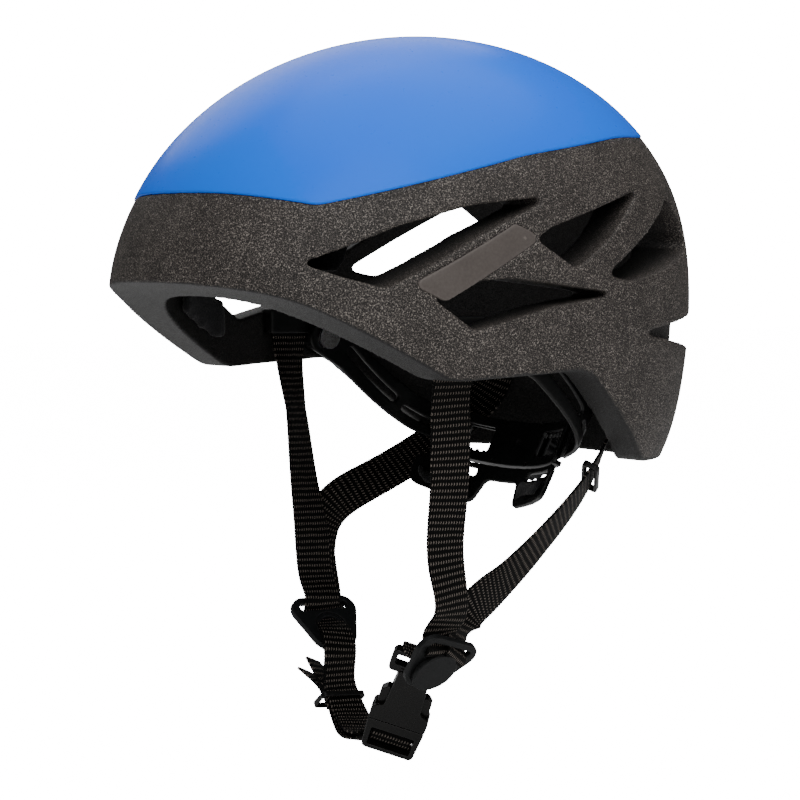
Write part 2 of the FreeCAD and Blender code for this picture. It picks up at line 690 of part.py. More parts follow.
def make_dial():
    pinion = new_body("dial_pinion", dial_frame(RACK_LAYERS["left"][0]))
    hub = new_sketch(pinion, "PinionHub")
    draw_circle(hub, 0, 0, "PinionHubRadius")
    pad(pinion, hub, "Dims.PinionWidth")
    tooth = new_sketch(pinion, "PinionTooth")
    half, tip = size("PinionTipWidth") / 2, size("PinionPitchRadius")
    draw(tooth, [(-half, 2), (half, 2), (half, tip + half, half - 0.01), (-half, tip + half, half - 0.01)])
    blade = pad(pinion, tooth, "Dims.PinionWidth")
    doc.recompute()
    teeth = pinion.newObject("PartDesign::PolarPattern", "PinionTeeth")
    teeth.Originals = [blade]
    teeth.Axis = (hub, ["N_Axis"])
    teeth.Angle, teeth.Occurrences = 360, 8
    pinion.Tip = teeth
    shaft = new_sketch(pinion, "PinionShaft")
    draw_circle(shaft, 0, 0, "ShaftRadius")
    pad(pinion, shaft, "8.6")
    stub = new_sketch(pinion, "PinionStub", -1.7)
    draw_circle(stub, 0, 0, "StubRadius")
    pad(pinion, stub, "2.0")

    washer = new_body("friction_washer", dial_frame(COVER_LAYER[1] + 0.25))
    ring = new_sketch(washer, "WasherRing")
    draw_circle(ring, 0, 0, "WasherRadius")
    ring.addGeometry(Part.Circle(ORIGIN, Z, size("ShaftRadius") + 0.05), False)
    pad(washer, ring, "Dims.WasherThickness")

    dial = new_body("dial_knob", dial_frame(COVER_LAYER[1] + 0.8))
    disc = new_sketch(dial, "DialDisc")
    draw_circle(disc, 0, 0, "DialRadius")
    pad(dial, disc, "Dims.DialWidth")
    bore = new_sketch(dial, "DialBore")
    draw_circle(bore, 0, 0, "ShaftRadius")
    pocket(dial, bore, "6.4")
    grip = new_sketch(dial, "DialGrip")
    grip.addGeometry(Part.Circle(V(size("DialRadius") + 0.4, 0, 0), Z, size("DialGripRadius")), False)
    notch = pocket(dial, grip, "40")
    doc.recompute()
    grips = dial.newObject("PartDesign::PolarPattern", "DialGrips")
    grips.Originals = [notch]
    grips.Axis = (disc, ["N_Axis"])
    grips.Angle, grips.Occurrences = 360, 14
    dial.Tip = grips


NAPE_WING = [(-55, -33.5, 3), (-48, -29.6, 3), (48, -29.6, 3), (55, -33.5, 3), (54, -47, 5),
             (17, -50, 5), (12.5, -37, 4), (-12.5, -37, 4), (-17, -50, 5), (-54, -47, 5)]


def make_nape():
    window = [(20, -36.4, 1.2), (47, -35.4, 1.2), (46, -32.2, 1.2), (20, -32.2, 1.2)]
    frame_plate = nape_plate(0.0, 2.2, NAPE_WING, (window, mirrored(window)))
    feature("nape_cradle", frame_plate, headband_frame())
    cushion = [(20, -37.5, 3), (51, -37.0, 3), (50, -45.5, 4), (19.5, -48, 4)]
    for name, side in SIDES:
        outline = cushion if side > 0 else mirrored(cushion)
        feature("nape_pad_" + name, nape_plate(-4.3, -0.3, outline), headband_frame())


# ---------------------------------------------------------------- buckle

BUCKLE_SEAM = V(22.5, -16.5, -157.5)
BUCKLE_ACROSS, BUCKLE_UP = V(0.533, 0.786, -0.314), V(0.61, -0.10, 0.785)


def buckle_frame():
    """Local X across the buckle, Y up towards the socket's bar and Z out of its face."""
    return frame(BUCKLE_SEAM, BUCKLE_ACROSS, BUCKLE_UP)


SOCKET_OUTLINE = [(-13.4, 0, 1), (13.4, 0, 1), (13.4, 7.5, 3), (8.6, 10, 2), (8.0, 19.5, 2),
                  (7.2, 32, 1), (-7.2, 32, 1), (-8.0, 19.5, 2), (-8.6, 10, 2), (-13.4, 7.5, 3)]
SOCKET_BAR = [(-12.6, 30, 2.5), (12.6, 30, 2.5), (12.6, 42.5, 2.5), (-12.6, 42.5, 2.5)]
PLUG_OUTLINE = [(-13.4, -0.4, 1), (-12.2, -18.5, 2.5), (12.2, -18.5, 2.5), (13.4, -0.4, 1)]
PRONG = [(7.6, -2.2), (10.0, -2.2), (9.9, 7.0, 3), (12.0, 10.5, 1.5), (12.0, 16.8, 2), (9.2, 20.0, 1.2),
         (7.4, 19.0, 0.8), (7.9, 9.0, 6)]
PRONG_ROOT = (8.8, -2.2)


def make_socket():
    item = new_body("buckle_female", buckle_frame())
    plate = new_sketch(item, "SocketPlate")
    draw(plate, SOCKET_OUTLINE)
    pad(item, plate, "Dims.BuckleThickness", True)
    bar = new_sketch(item, "SocketBar")
    draw(bar, SOCKET_BAR)
    draw(bar, [(-10.2, 34.2, 1), (10.2, 34.2, 1), (10.2, 40.0, 1), (-10.2, 40.0, 1)])
    pad(item, bar, "Dims.BuckleBarThickness", True)
    cavity = new_sketch(item, "SocketCavity")
    draw(cavity, [(-12.1, -1), (12.1, -1), (12.1, 21.5, 1), (-12.1, 21.5, 1)])
    pocket(item, cavity, "Dims.BuckleCavity")


def make_plug():
    item = new_body("buckle_male", buckle_frame())
    plate = new_sketch(item, "PlugPlate")
    draw(plate, PLUG_OUTLINE)
    draw(plate, [(-10.0, -16.2, 1), (10.0, -16.2, 1), (10.2, -5.4, 1), (-10.2, -5.4, 1)])
    pad(item, plate, "Dims.BuckleThickness", True)
    tongue = new_sketch(item, "PlugTongue")
    draw(tongue, [(-2.2, -1), (2.2, -1), (2.0, 19, 1.5), (-2.0, 19, 1.5)])
    pad(item, tongue, "Dims.ProngThickness - 0.4", True)
    roots = new_sketch(item, "ProngSockets")
    for side in (1, -1):
        outline = [(7.0, 1), (7.0, -2.2), (7.6, -4.3, 1), (10.0, -4.3, 1), (10.6, -2.2), (10.6, 1)]
        draw(roots, outline if side > 0 else mirrored(outline))
    pocket(item, roots, "Dims.ProngThickness + 0.4")
    bar = new_sketch(item, "PlugBar", -3.0)
    draw(bar, [(-10.8, -12.0), (10.8, -12.0), (10.8, -9.6), (-10.8, -9.6)])
    pad(item, bar, "2.4")


def make_prongs():
    for name, side in (("outer", 1), ("inner", -1)):
        arm = doc.addObject("PartDesign::Body", "prong_" + name)
        arm.Label = "prong_" + name
        arm.Placement = buckle_frame()
        SUBPARTS.append(arm)
        blade = new_sketch(arm, "ProngBlade_" + name)
        draw(blade, PRONG if side > 0 else mirrored(PRONG))
        pad(arm, blade, "Dims.ProngThickness", True)
        root = new_sketch(arm, "ProngRoot_" + name)
        draw_circle(root, side * PRONG_ROOT[0], PRONG_ROOT[1], "ProngRootRadius")
        pad(arm, root, "Dims.ProngThickness", True)


def make_buckle_webbing():
    place = buckle_frame()

    def at(x, y, z):
        return place.multVec(V(x, y, z))
    across = place.Rotation.multVec(X)
    web, thick = size("WebWidth"), size("WebThickness")
    low = (in_divider("left", 0.0, -10, -3.0), divider_axis("left", 1, 0, 0))
    loop = [low, (at(0, 44.6, -0.5), across), (at(0, 43.4, -3.4), across), (at(0, 37.0, -4.2), across)]
    feature("buckle_loop", web_path(loop, web, thick))
    wrap = [(at(0, -6.2, -0.6), across), (at(0, -8.6, 1.1), across), (at(0, -13.0, 1.1), across),
            (at(0, -15.4, -0.8), across)]
    feature("male_webbing", web_path(wrap, web, thick))
    strap = [(in_divider("right", 0, -6, -2.2), V(0, 1, 0)), (in_divider("right", 2.5, -19, -2.4), V(0, 1, 0)),
             (V(-37.5, -9.5, -147), V(0, 1, 0)), (V(-31, -10, -158.5), V(0.05, 1, 0)),
             (V(-20, -12, -167.5), V(0.1, 1, -0.05)), (V(-6, -13.5, -170.0), V(0.3, 0.9, -0.2)),
             (at(0, -19.5, -8.6), across)]
    feature("lower_strap", web_path(strap, web, 2 * thick))


KEEPER_AT, KEEPER_ALONG = V(-33.6, -10.8, -154.6), V(0.6, -0.07, -0.8)


def keeper_frame():
    """Local X across the strap, Y towards the face and Z down along the strap."""
    across = V(0.02, 1, -0.06)
    return frame(KEEPER_AT, across, V(KEEPER_ALONG).cross(across))


def make_keeper():
    item = new_body("strap_keeper", keeper_frame())
    plate = new_sketch(item, "KeeperLoop")
    draw(plate, [(-11.8, -8.2, 2.4), (11.8, -8.2, 2.4), (11.8, 3.8, 2.4), (-11.8, 3.8, 2.4)])
    draw(plate, [(-10.8, -7.2, 1.4), (10.8, -7.2, 1.4), (10.8, 2.8, 1.4), (-10.8, 2.8, 1.4)])
    pad(item, plate, "Dims.KeeperLength", True)


def make_tails():
    place = keeper_frame()
    tails = []
    for level, spread in ((-3.1, 0.0), (-5.1, 1.0)):
        route = [((0, level, 4), (1, 0, 0)), ((0, level - 0.2, -5), (1, 0, 0)),
                 ((-2.5 - spread, level - 1.6 - 2 * spread, -14), (0.9, -0.3, 0)),
                 ((-5 - 3 * spread, level - 3.4 - 4 * spread, -24 + 2 * spread), (0.8, -0.5, 0))]
        stations = [(place.multVec(V(*at)), place.Rotation.multVec(V(*across))) for at, across in route]
        tails.append(web_path(stations, 14.0, 1.2))
    feature("strap_tails", Part.makeCompound(tails))


# ---------------------------------------------------------------- build and write

make_foam()
make_cap()
make_badges()
make_pads()
make_anchors()
make_front_webbing()
make_rear_webbing()
make_dividers()
make_guides()
make_pivots()
make_arms()
make_adjuster_base()
make_adjuster_cover()
make_cover_screws()
make_racks()
make_dial()
make_nape()
make_socket()
make_plug()
make_prongs()
make_buckle_webbing()
make_keeper()
make_tails()
doc.recompute()

for item in doc.Objects:
    if "Invalid" in item.State or "Error" in item.State:
        raise RuntimeError("%s failed: %s" % (item.Label, item.State))
for item in SUBPARTS:
    if item.Shape.isNull() or not item.Shape.isValid() or item.Shape.Volume <= 0:
        raise RuntimeError("%s has no valid shape" % item.Label)

os.makedirs("parts", exist_ok=True)
for item in SUBPARTS:
    item.Shape.exportStep("parts/%s.step" % item.Label)
    print("%-26s %9.1f mm3, %d solid(s)" % (item.Label, item.Shape.Volume, len(item.Shape.Solids)))
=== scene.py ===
"""Climbing helmet: the looks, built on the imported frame.  Metres, +Z up, the brow faces -Y."""
import json
from math import cos, pi, radians, sin

import bpy
import numpy as np
from mathutils import Matrix, Vector


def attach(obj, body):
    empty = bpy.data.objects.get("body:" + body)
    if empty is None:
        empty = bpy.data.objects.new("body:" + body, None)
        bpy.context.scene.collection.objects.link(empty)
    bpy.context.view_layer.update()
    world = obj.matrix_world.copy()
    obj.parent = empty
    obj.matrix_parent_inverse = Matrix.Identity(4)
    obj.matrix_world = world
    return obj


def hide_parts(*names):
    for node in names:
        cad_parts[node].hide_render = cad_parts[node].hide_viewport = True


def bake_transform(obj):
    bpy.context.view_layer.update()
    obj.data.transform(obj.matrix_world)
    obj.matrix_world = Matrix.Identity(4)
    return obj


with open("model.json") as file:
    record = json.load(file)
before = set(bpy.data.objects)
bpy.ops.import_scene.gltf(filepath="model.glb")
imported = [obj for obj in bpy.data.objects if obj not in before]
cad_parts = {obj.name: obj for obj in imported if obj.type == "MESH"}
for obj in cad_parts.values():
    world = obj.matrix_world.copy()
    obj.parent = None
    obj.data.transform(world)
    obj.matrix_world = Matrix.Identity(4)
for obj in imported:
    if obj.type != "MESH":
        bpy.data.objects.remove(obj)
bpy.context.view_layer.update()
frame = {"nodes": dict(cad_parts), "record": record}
MM = 0.001
NODES = frame["nodes"]
WEAVE_ROW, WEAVE_COLUMN = 2.85, 1.35        # mm between the floats, along and across the webbing
FOAM_VOXEL, FOAM_VOXEL_QUICK = 1.0, 1.5     # mm


# ---------------------------------------------------------------- materials

class Shader:
    """A Principled material with a few helpers for its node tree."""

    def __init__(self, name, roughness=0.5, metallic=0.0, specular=0.5, coat=0.0):
        self.material = bpy.data.materials.new(name)
        self.material.use_nodes = True
        self.tree = self.material.node_tree
        self.surface = self.tree.nodes["Principled BSDF"]
        self.surface.inputs["Roughness"].default_value = roughness
        self.surface.inputs["Metallic"].default_value = metallic
        self.surface.inputs["Specular IOR Level"].default_value = specular
        self.surface.inputs["Coat Weight"].default_value = coat
        self.place = self.node("ShaderNodeTexCoord").outputs["Object"]

    def node(self, kind, sockets=(), **settings):
        node = self.tree.nodes.new(kind)
        for key, value in settings.items():
            setattr(node, key, value)
        for key, value in dict(sockets).items():
            if isinstance(value, bpy.types.NodeSocket):
                self.tree.links.new(value, node.inputs[key])
            else:
                node.inputs[key].default_value = value
        return node

    def math(self, operation, a, b=0.0):
        return self.node("ShaderNodeMath", {0: a, 1: b}, operation=operation).outputs[0]

    def noise(self, scale, detail=2.0, roughness=0.5, vector=None):
        sockets = {"Vector": vector or self.place, "Scale": scale, "Detail": detail,
                   "Roughness": roughness}
        return self.node("ShaderNodeTexNoise", sockets).outputs["Fac"]

    def cells(self, scale):
        return self.node("ShaderNodeTexVoronoi", {"Vector": self.place, "Scale": scale}).outputs[0]

    def ramp(self, value, stops):
        ramp = self.node("ShaderNodeValToRGB", {"Fac": value})
        points = ramp.color_ramp.elements
        while len(points) < len(stops):
            points.new(0.5)
        for point, (at, colour) in zip(points, stops):
            point.position = at
            point.color = (*colour, 1.0) if hasattr(colour, "__len__") else (colour,) * 3 + (1.0,)
        return ramp.outputs["Color"]

    def mix(self, share, a, b):
        node = self.node("ShaderNodeMix", data_type="RGBA")
        for index, value in ((0, share), (6, a), (7, b)):
            if isinstance(value, bpy.types.NodeSocket):
                self.tree.links.new(value, node.inputs[index])
            else:
                node.inputs[index].default_value = value if index == 0 else (*value, 1.0)
        return node.outputs[2]

    def set(self, socket, value):
        self.tree.links.new(value, self.surface.inputs[socket])

    def bump(self, height, strength, distance):
        node = self.node("ShaderNodeBump", {"Height": height, "Strength": strength,
                                            "Distance": distance})
        self.set("Normal", node.outputs["Normal"])


def attribute(shader, name):
    return shader.node("ShaderNodeAttribute", attribute_name=name).outputs["Fac"]


def foam_material():
    s = Shader("foam_speckled", roughness=0.6, specular=0.25)
    grain = s.noise(2100, 2.0, 0.75)
    spots = s.cells(1700)
    mottled = s.math("ADD", s.math("MULTIPLY", grain, 0.75), s.math("MULTIPLY", spots, 0.35))
    cloud = s.math("ADD", mottled, s.math("MULTIPLY", s.noise(60, 2.0), 0.08))
    speckle = s.ramp(cloud, [(0.40, (0.002, 0.0017, 0.0015)), (0.52, (0.016, 0.0138, 0.0124)),
                             (0.64, (0.044, 0.038, 0.034)), (0.78, (0.27, 0.24, 0.215))])
    smooth = s.ramp(grain, [(0.3, (0.013, 0.0125, 0.0125)), (0.7, (0.02, 0.0195, 0.019))])
    # Painted shade: a near-black ramp standing in for shade inside the shell, used on the vent walls and on
    # the inner faces.
    inner_shade = s.ramp(cloud, [(0.40, (0.003, 0.003, 0.003)), (0.8, (0.028, 0.026, 0.025))])
    # Painted shade: faces lying deeper below the outer surface, as on the vent walls, are mixed towards the
    # dark shade ramp.
    shaded = s.mix(attribute(s, "depth_shade"), speckle, inner_shade)
    outside = s.mix(attribute(s, "rim"), shaded, smooth)
    # Painted shade on the inward-facing inner faces.
    s.set("Base Color", s.mix(attribute(s, "inner_shade"), outside, inner_shade))
    s.set("Roughness", s.ramp(cloud, [(0.4, 0.72), (0.8, 0.42)]))
    s.bump(cloud, 0.5, 0.0007)
    return s.material


def cap_material():
    s = Shader("cap_gloss_blue", roughness=0.3, specular=0.08, coat=0.02)
    s.surface.inputs["Coat Roughness"].default_value = 0.15
    tone = s.noise(9, 2.0, 0.5)
    s.set("Base Color", s.ramp(tone, [(0.3, (0.0, 0.150, 1.0)), (0.7, (0.0, 0.168, 1.0))]))
    s.set("Roughness", s.ramp(s.noise(420, 3.0, 0.6), [(0.3, 0.27), (0.75, 0.36)]))
    s.bump(s.noise(230, 2.0), 0.04, 0.0006)
    return s.material


def moulded_material(name, dark, light, roughness, shine=0.22, grain=900):
    """Injection-moulded plastic with a fine spark-eroded texture and paler convex edges painted on as a
    highlight.
    """
    s = Shader(name, roughness=roughness, specular=shine)
    fine = s.noise(grain, 3.0, 0.6)
    tone = s.math("ADD", s.math("MULTIPLY", fine, 0.6), s.math("MULTIPLY", s.noise(70, 2.0), 0.4))
    edge = s.node("ShaderNodeNewGeometry").outputs["Pointiness"]
    body = s.ramp(tone, [(0.35, dark), (0.7, light)])
    # Painted highlight: sharp convex edges are mixed towards a paler colour, standing in for light catching
    # them.
    edge_highlight = s.ramp(edge, [(0.50, 0.0), (0.60, 0.35)])
    pale = tuple(min(1.0, c * 2.4 + 0.01) for c in light)
    s.set("Base Color", s.mix(edge_highlight, body, pale))
    s.set("Roughness", s.ramp(tone, [(0.3, roughness - 0.07), (0.75, roughness + 0.1)]))
    s.bump(fine, 0.12, 0.0002)
    return s.material


def webbing_material():
    """Flat nylon weave: rows of short floats over dark gaps, with the floats' glints painted into the
    colour as bright brownish dashes.  UV is in units of a metre.
    """
    s = Shader("webbing_nylon", roughness=0.6, specular=0.07)
    s.surface.inputs["Sheen Weight"].default_value = 0.01
    s.surface.inputs["Sheen Roughness"].default_value = 0.5
    uv = s.node("ShaderNodeUVMap", uv_map="weave").outputs["UV"]
    split = s.node("ShaderNodeSeparateXYZ", {"Vector": uv})
    across, along = split.outputs["X"], split.outputs["Y"]
    wobble = s.math("MULTIPLY", s.noise(180, 2.0), 0.0005)
    rows = s.math("MULTIPLY", s.math("ADD", along, wobble), 2 * pi / (WEAVE_ROW * MM))
    shift = s.math("MULTIPLY", s.math("FLOOR", s.math("MULTIPLY", along, 1 / (WEAVE_ROW * MM))), 0.9)
    columns = s.math("ADD", s.math("MULTIPLY", across, 2 * pi / (WEAVE_COLUMN * MM)), shift)
    row = s.math("MAXIMUM", s.math("ADD", s.math("MULTIPLY", s.math("COSINE", rows), 0.62), 0.38), 0.0)
    column = s.math("MAXIMUM", s.math("ADD", s.math("MULTIPLY", s.math("COSINE", columns), 0.8), 0.25), 0.0)
    float_mask = s.math("MULTIPLY", row, column)
    fibre = s.noise(2600, 2.0, 0.6)
    # Painted highlight: each float's glint is put into the base colour, brightest at its centre.
    shine = s.math("MULTIPLY", float_mask, s.math("ADD", s.math("MULTIPLY", fibre, 0.9), 0.45))
    s.set("Base Color", s.ramp(shine, [(0.06, (0.0010, 0.0009, 0.0008)), (0.30, (0.004, 0.0034, 0.003)),
                                       (0.72, (0.19, 0.162, 0.142))]))
    s.bump(s.math("ADD", float_mask, s.math("MULTIPLY", fibre, 0.15)), 0.9, 0.0005)
    return s.material


def pad_material():
    s = Shader("pad_brushed_fabric", roughness=0.9, specular=0.1)
    s.surface.inputs["Sheen Weight"].default_value = 0.12
    s.surface.inputs["Sheen Roughness"].default_value = 0.45
    mesh = s.cells(1500)
    fuzz = s.noise(1800, 3.0, 0.7)
    s.set("Base Color", s.ramp(s.math("MULTIPLY", fuzz, 1.0), [(0.3, (0.006, 0.006, 0.0065)),
                                                                (0.75, (0.022, 0.022, 0.023))]))
    s.bump(s.math("ADD", mesh, s.math("MULTIPLY", fuzz, 0.4)), 0.5, 0.0004)
    return s.material


def steel_material():
    s = Shader("steel_brushed", roughness=0.35, metallic=1.0)
    brush = s.noise(1600, 2.0, 0.7)
    s.set("Base Color", s.ramp(brush, [(0.3, 0.35), (0.7, 0.62)]))
    s.bump(brush, 0.15, 0.0001)
    return s.material


FOAM = foam_material()
CAP = cap_material()
BADGE = moulded_material("badge_rubber", (0.075, 0.064, 0.058), (0.102, 0.088, 0.080), 0.46)
SATIN = moulded_material("satin_plastic", (0.006, 0.0064, 0.0068), (0.010, 0.0105, 0.011), 0.45, 0.14)
GLOSS = moulded_material("buckle_plastic", (0.0025, 0.0022, 0.002), (0.0045, 0.004, 0.0036), 0.26, 0.28)
BAND = moulded_material("band_plastic", (0.003, 0.003, 0.003), (0.006, 0.006, 0.006), 0.4)
WEB = webbing_material()
PAD = pad_material()
STEEL = steel_material()


# ---------------------------------------------------------------- mesh helpers

BODY_OF = {}
for body_name, members in frame["record"]["behaviour"]["bodies"].items():
    for member in members:
        BODY_OF[member] = body_name


def add_object(name, mesh, material):
    item = bpy.data.objects.new(name, mesh)
    bpy.context.scene.collection.objects.link(item)
    mesh.materials.clear()
    mesh.materials.append(material)
    mesh.shade_smooth()
    return item


def apply_modifiers(item):
    """Bake the evaluated mesh into the object and drop its modifiers."""
    shown = item.evaluated_get(bpy.context.evaluated_depsgraph_get())
    baked = bpy.data.meshes.new_from_object(shown)
    item.modifiers.clear()
    item.data = baked
    baked.shade_smooth()
    return item


def stand_for(item, *nodes):
    """The piece replaces these nodes and rides on their body."""
    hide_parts(*nodes)
    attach(item, BODY_OF[nodes[0]])
    return item


def moulded(node, material, voxel, rounds=3, factor=0.5):
    """Copy of a node with its edges rounded as a mould leaves them."""
    item = add_object("look_" + node, NODES[node].data.copy(), material)
    remesh = item.modifiers.new("remesh", "REMESH")
    remesh.mode, remesh.voxel_size = "VOXEL", voxel * MM
    relax = item.modifiers.new("relax", "SMOOTH")
    relax.factor, relax.iterations = factor, rounds
    apply_modifiers(item)
    return stand_for(item, node)


def vertices(mesh):
    flat = np.empty(len(mesh.vertices) * 3)
    mesh.vertices.foreach_get("co", flat)
    return flat.reshape(-1, 3)


def normals(mesh):
    flat = np.empty(len(mesh.vertices) * 3)
    mesh.vertex_normals.foreach_get("vector", flat)
    return flat.reshape(-1, 3)


def write_attribute(mesh, name, values):
    mesh.attributes.new(name, "FLOAT", "POINT").data.foreach_set("value", values.astype(np.float32))


def fillet_outline(corners, step=0.5):
    """Dense (y, z) points of an open outline of (y, z, corner radius) corners, in mm."""
    points = [np.array(corners[0][:2], float)]
    for before, here, after in zip(corners, corners[1:], corners[2:]):
        at = np.array(here[:2], float)
        back, ahead = np.array(before[:2]) - at, np.array(after[:2]) - at
        back, ahead = back / np.linalg.norm(back), ahead / np.linalg.norm(ahead)
        half = np.arccos(np.clip(back @ ahead, -1, 1)) / 2
        run = here[2] / np.tan(half)
        start, end = at + back * run, at + ahead * run
        for t in np.linspace(0, 1, 25):
            points.append((1 - t) ** 2 * start + 2 * t * (1 - t) * at + t * t * end)
    points.append(np.array(corners[-1][:2], float))
    points = np.array(points)
    run = np.concatenate([[0], np.cumsum(np.linalg.norm(np.diff(points, axis=0), axis=1))])
    even = np.arange(0, run[-1], step)
    return np.column_stack([np.interp(even, run, points[:, k]) for k in (0, 1)])


# ---------------------------------------------------------------- the shell's surface

RIM = [(-160, 48), (-108, 36.5, 90), (-44, 0.2, 18), (26, 4.2, 18), (74, -39.5, 12), (160, -41)]
CAP_EDGE = [(-160, 84), (-118, 81.2, 60), (-94, 75.2, 10), (0, 97.5, 200), (60, 107, 150), (160, 111)]
HALF_LENGTH, HALF_WIDTH, CROWN_RISE, SKIRT_DROP, PLAN_POWER = 134.0, 113.0, 112.0, 170.0, 2.3
CENTRE_BACK, CENTRE_UP, TILT, FLARE = 1.5, 41.0, radians(9.0), 4.0


def shell_surface(turn, lift, grow):
    """Points (mm) of the shell grown outwards: turn about the crown, lift up from its widest level."""
    rise = CROWN_RISE + grow
    level = rise * np.sin(lift)
    plan = (np.abs(np.cos(turn)) / (HALF_WIDTH + grow)) ** PLAN_POWER \
        + (np.abs(np.sin(turn)) / (HALF_LENGTH + grow)) ** PLAN_POWER
    reach = np.cos(lift) / plan ** (1 / PLAN_POWER)
    across, along = reach * np.cos(turn), reach * np.sin(turn)
    lowness = np.clip((54 - level) / 60, 0, 1.2)
    along = along - FLARE * lowness * np.clip(-along / 120, 0, 1) ** 2
    return np.stack([across, along * cos(TILT) - level * sin(TILT) + CENTRE_BACK,
                     along * sin(TILT) + level * cos(TILT) + CENTRE_UP], axis=-1)


def shell_value(points, wall=0.0):
    """About 0 on the shell's surface, positive outside; wall shrinks it inwards towards the inner face."""
    p = points / MM
    y, z = p[:, 1] - CENTRE_BACK, p[:, 2] - CENTRE_UP
    along, level = y * cos(TILT) + z * sin(TILT), z * cos(TILT) - y * sin(TILT)
    length, width = HALF_LENGTH - wall, HALF_WIDTH - wall
    rise = np.where(level > 0, CROWN_RISE - wall, SKIRT_DROP)
    plan = (np.abs(p[:, 0]) / width) ** PLAN_POWER + (np.abs(along) / length) ** PLAN_POWER
    return np.sqrt(plan ** (2 / PLAN_POWER) + (level / rise) ** 2) - 1


def make_foam():
    item = add_object("look_foam_body", NODES["foam_body"].data.copy(), FOAM)
    remesh = item.modifiers.new("remesh", "REMESH")
    remesh.mode, remesh.voxel_size = "VOXEL", FOAM_VOXEL * MM
    relax = item.modifiers.new("relax", "SMOOTH")
    relax.factor, relax.iterations = 0.5, 3
    apply_modifiers(item)
    mesh = item.data
    places, facing = vertices(mesh), normals(mesh)
    edge = fillet_outline(RIM)
    gaps = np.full(len(places), 9.0)
    for start in range(0, len(places), 20000):
        piece = places[start:start + 20000, 1:] / MM
        gaps[start:start + 20000] = np.sqrt(((piece[:, None] - edge[None]) ** 2).sum(2).min(1))
    rim = np.clip((2.2 - gaps) / 1.0, 0, 1) * np.clip((-facing[:, 2] - 0.25) / 0.3, 0, 1)
    write_attribute(mesh, "rim", rim)
    # Painted shade mask: how far each vertex lies below the outer surface, used to darken the vent walls.
    depths = (1.5, 3, 5, 7, 9, 12)
    depth_shade = sum((shell_value(places, depth) < 0).astype(float) for depth in depths) / len(depths)
    write_attribute(mesh, "depth_shade", depth_shade)
    # Painted shade mask: inward-facing faces well inside the shell, away from the rim.
    inwards = -(facing * (places - np.array([0, 0, 0.05]))).sum(1) / np.linalg.norm(places, axis=1)
    inner_shade = np.clip((inwards - 0.2) / 0.2, 0, 1) * (shell_value(places, 14.0) < 0)
    write_attribute(mesh, "inner_shade", inner_shade * (1 - rim))
    stand_for(item, "foam_body")


def make_cap():
    """Hard crown shell as one even grid, with a rolled lower edge."""
    turns = np.linspace(0, 2 * pi, 361)[:-1]
    line = fillet_outline(CAP_EDGE)
    low, high = np.full(len(turns), -0.6), np.full(len(turns), 1.4)
    for _ in range(40):
        middle = (low + high) / 2
        at = shell_surface(turns, middle, 0.7)
        above = at[:, 2] > np.interp(at[:, 1], line[:, 0], line[:, 1])
        high, low = np.where(above, middle, high), np.where(above, low, middle)
    edge, roll = high, 1.0 / 118
    rings = [shell_surface(turns, edge, -1.35)]
    for angle in np.linspace(pi / 2, 0, 6):
        rings.append(shell_surface(turns, edge + (1 - sin(angle)) * roll, 0.7 - 0.9 * (1 - cos(angle))))
    shares = np.linspace(0, 1, 64)[1:-1] ** 0.9
    for share in shares:
        lift = edge + roll + (pi / 2 - edge - roll) * share
        rings.append(shell_surface(turns, lift, 0.7))
    apex = shell_surface(np.zeros(1), np.array([pi / 2]), 0.7)
    places = np.concatenate(rings + [apex]) * MM
    count, rows = len(turns), len(rings)
    faces = [(r * count + i, r * count + (i + 1) % count,
              (r + 1) * count + (i + 1) % count, (r + 1) * count + i)
             for r in range(rows - 1) for i in range(count)]
    last = (rows - 1) * count
    faces += [(last + i, last + (i + 1) % count, rows * count) for i in range(count)]
    mesh = bpy.data.meshes.new("look_crown_shell")
    mesh.from_pydata(places.tolist(), [], faces)
    stand_for(add_object("look_crown_shell", mesh, CAP), "crown_shell")


# ---------------------------------------------------------------- webbing

def place(origin, across, up):
    """Frame matrix whose local X is across and whose local Y is up, as near as it can be (mm)."""
    e1 = Vector(across).normalized()
    e3 = e1.cross(Vector(up)).normalized()
    e2 = e3.cross(e1)
    turn = Matrix((e1, e2, e3)).transposed().to_4x4()
    return Matrix.Translation(Vector(origin)) @ turn


DIVIDERS = {
    "left": place((63.6, -23.0, -122.8), (-0.22, 0.94, -0.26), (0.64, 0.22, 0.77)),
    "right": place((-51.9, -6.3, -119), (0.0, -1.0, 0.0), (-0.64, 0.0, 0.77)),
}
KEEPER = place((-33.6, -10.8, -154.6), (0.02, 1, -0.06), (0.804, 0.02, 0.601))
BUCKLE = place((22.5, -16.5, -157.5), (0.533, 0.786, -0.314), (0.61, -0.10, 0.785))


def local(matrix, x, y, z):
    return tuple(matrix @ Vector((x, y, z)))


def turned(matrix, x, y, z):
    return tuple(matrix.to_3x3() @ Vector((x, y, z)))


def smooth_path(points, step):
    """Natural cubic through the points, at even steps, with the share of each station."""
    points = np.array(points, float)
    gaps = np.linalg.norm(np.diff(points, axis=0), axis=1)
    marks = np.concatenate([[0], np.cumsum(gaps)])
    n = len(points)
    system, goal = np.eye(n), np.zeros((n, 3))
    for i in range(1, n - 1):
        a, b = gaps[i - 1], gaps[i]
        system[i, i - 1:i + 2] = (a / 6, (a + b) / 3, b / 6)
        goal[i] = (points[i + 1] - points[i]) / b - (points[i] - points[i - 1]) / a
    bend = np.linalg.solve(system, goal)
    at = np.linspace(0, marks[-1], max(8, int(marks[-1] / step)))
    k = np.clip(np.searchsorted(marks, at, side="right") - 1, 0, n - 2)
    h, t = gaps[k][:, None], (at - marks[k])[:, None]
    u = h - t
    curve = (bend[k] * u ** 3 + bend[k + 1] * t ** 3) / (6 * h) \
        + (points[k] / h - bend[k] * h / 6) * u + (points[k + 1] / h - bend[k + 1] * h / 6) * t
    return curve, at, marks


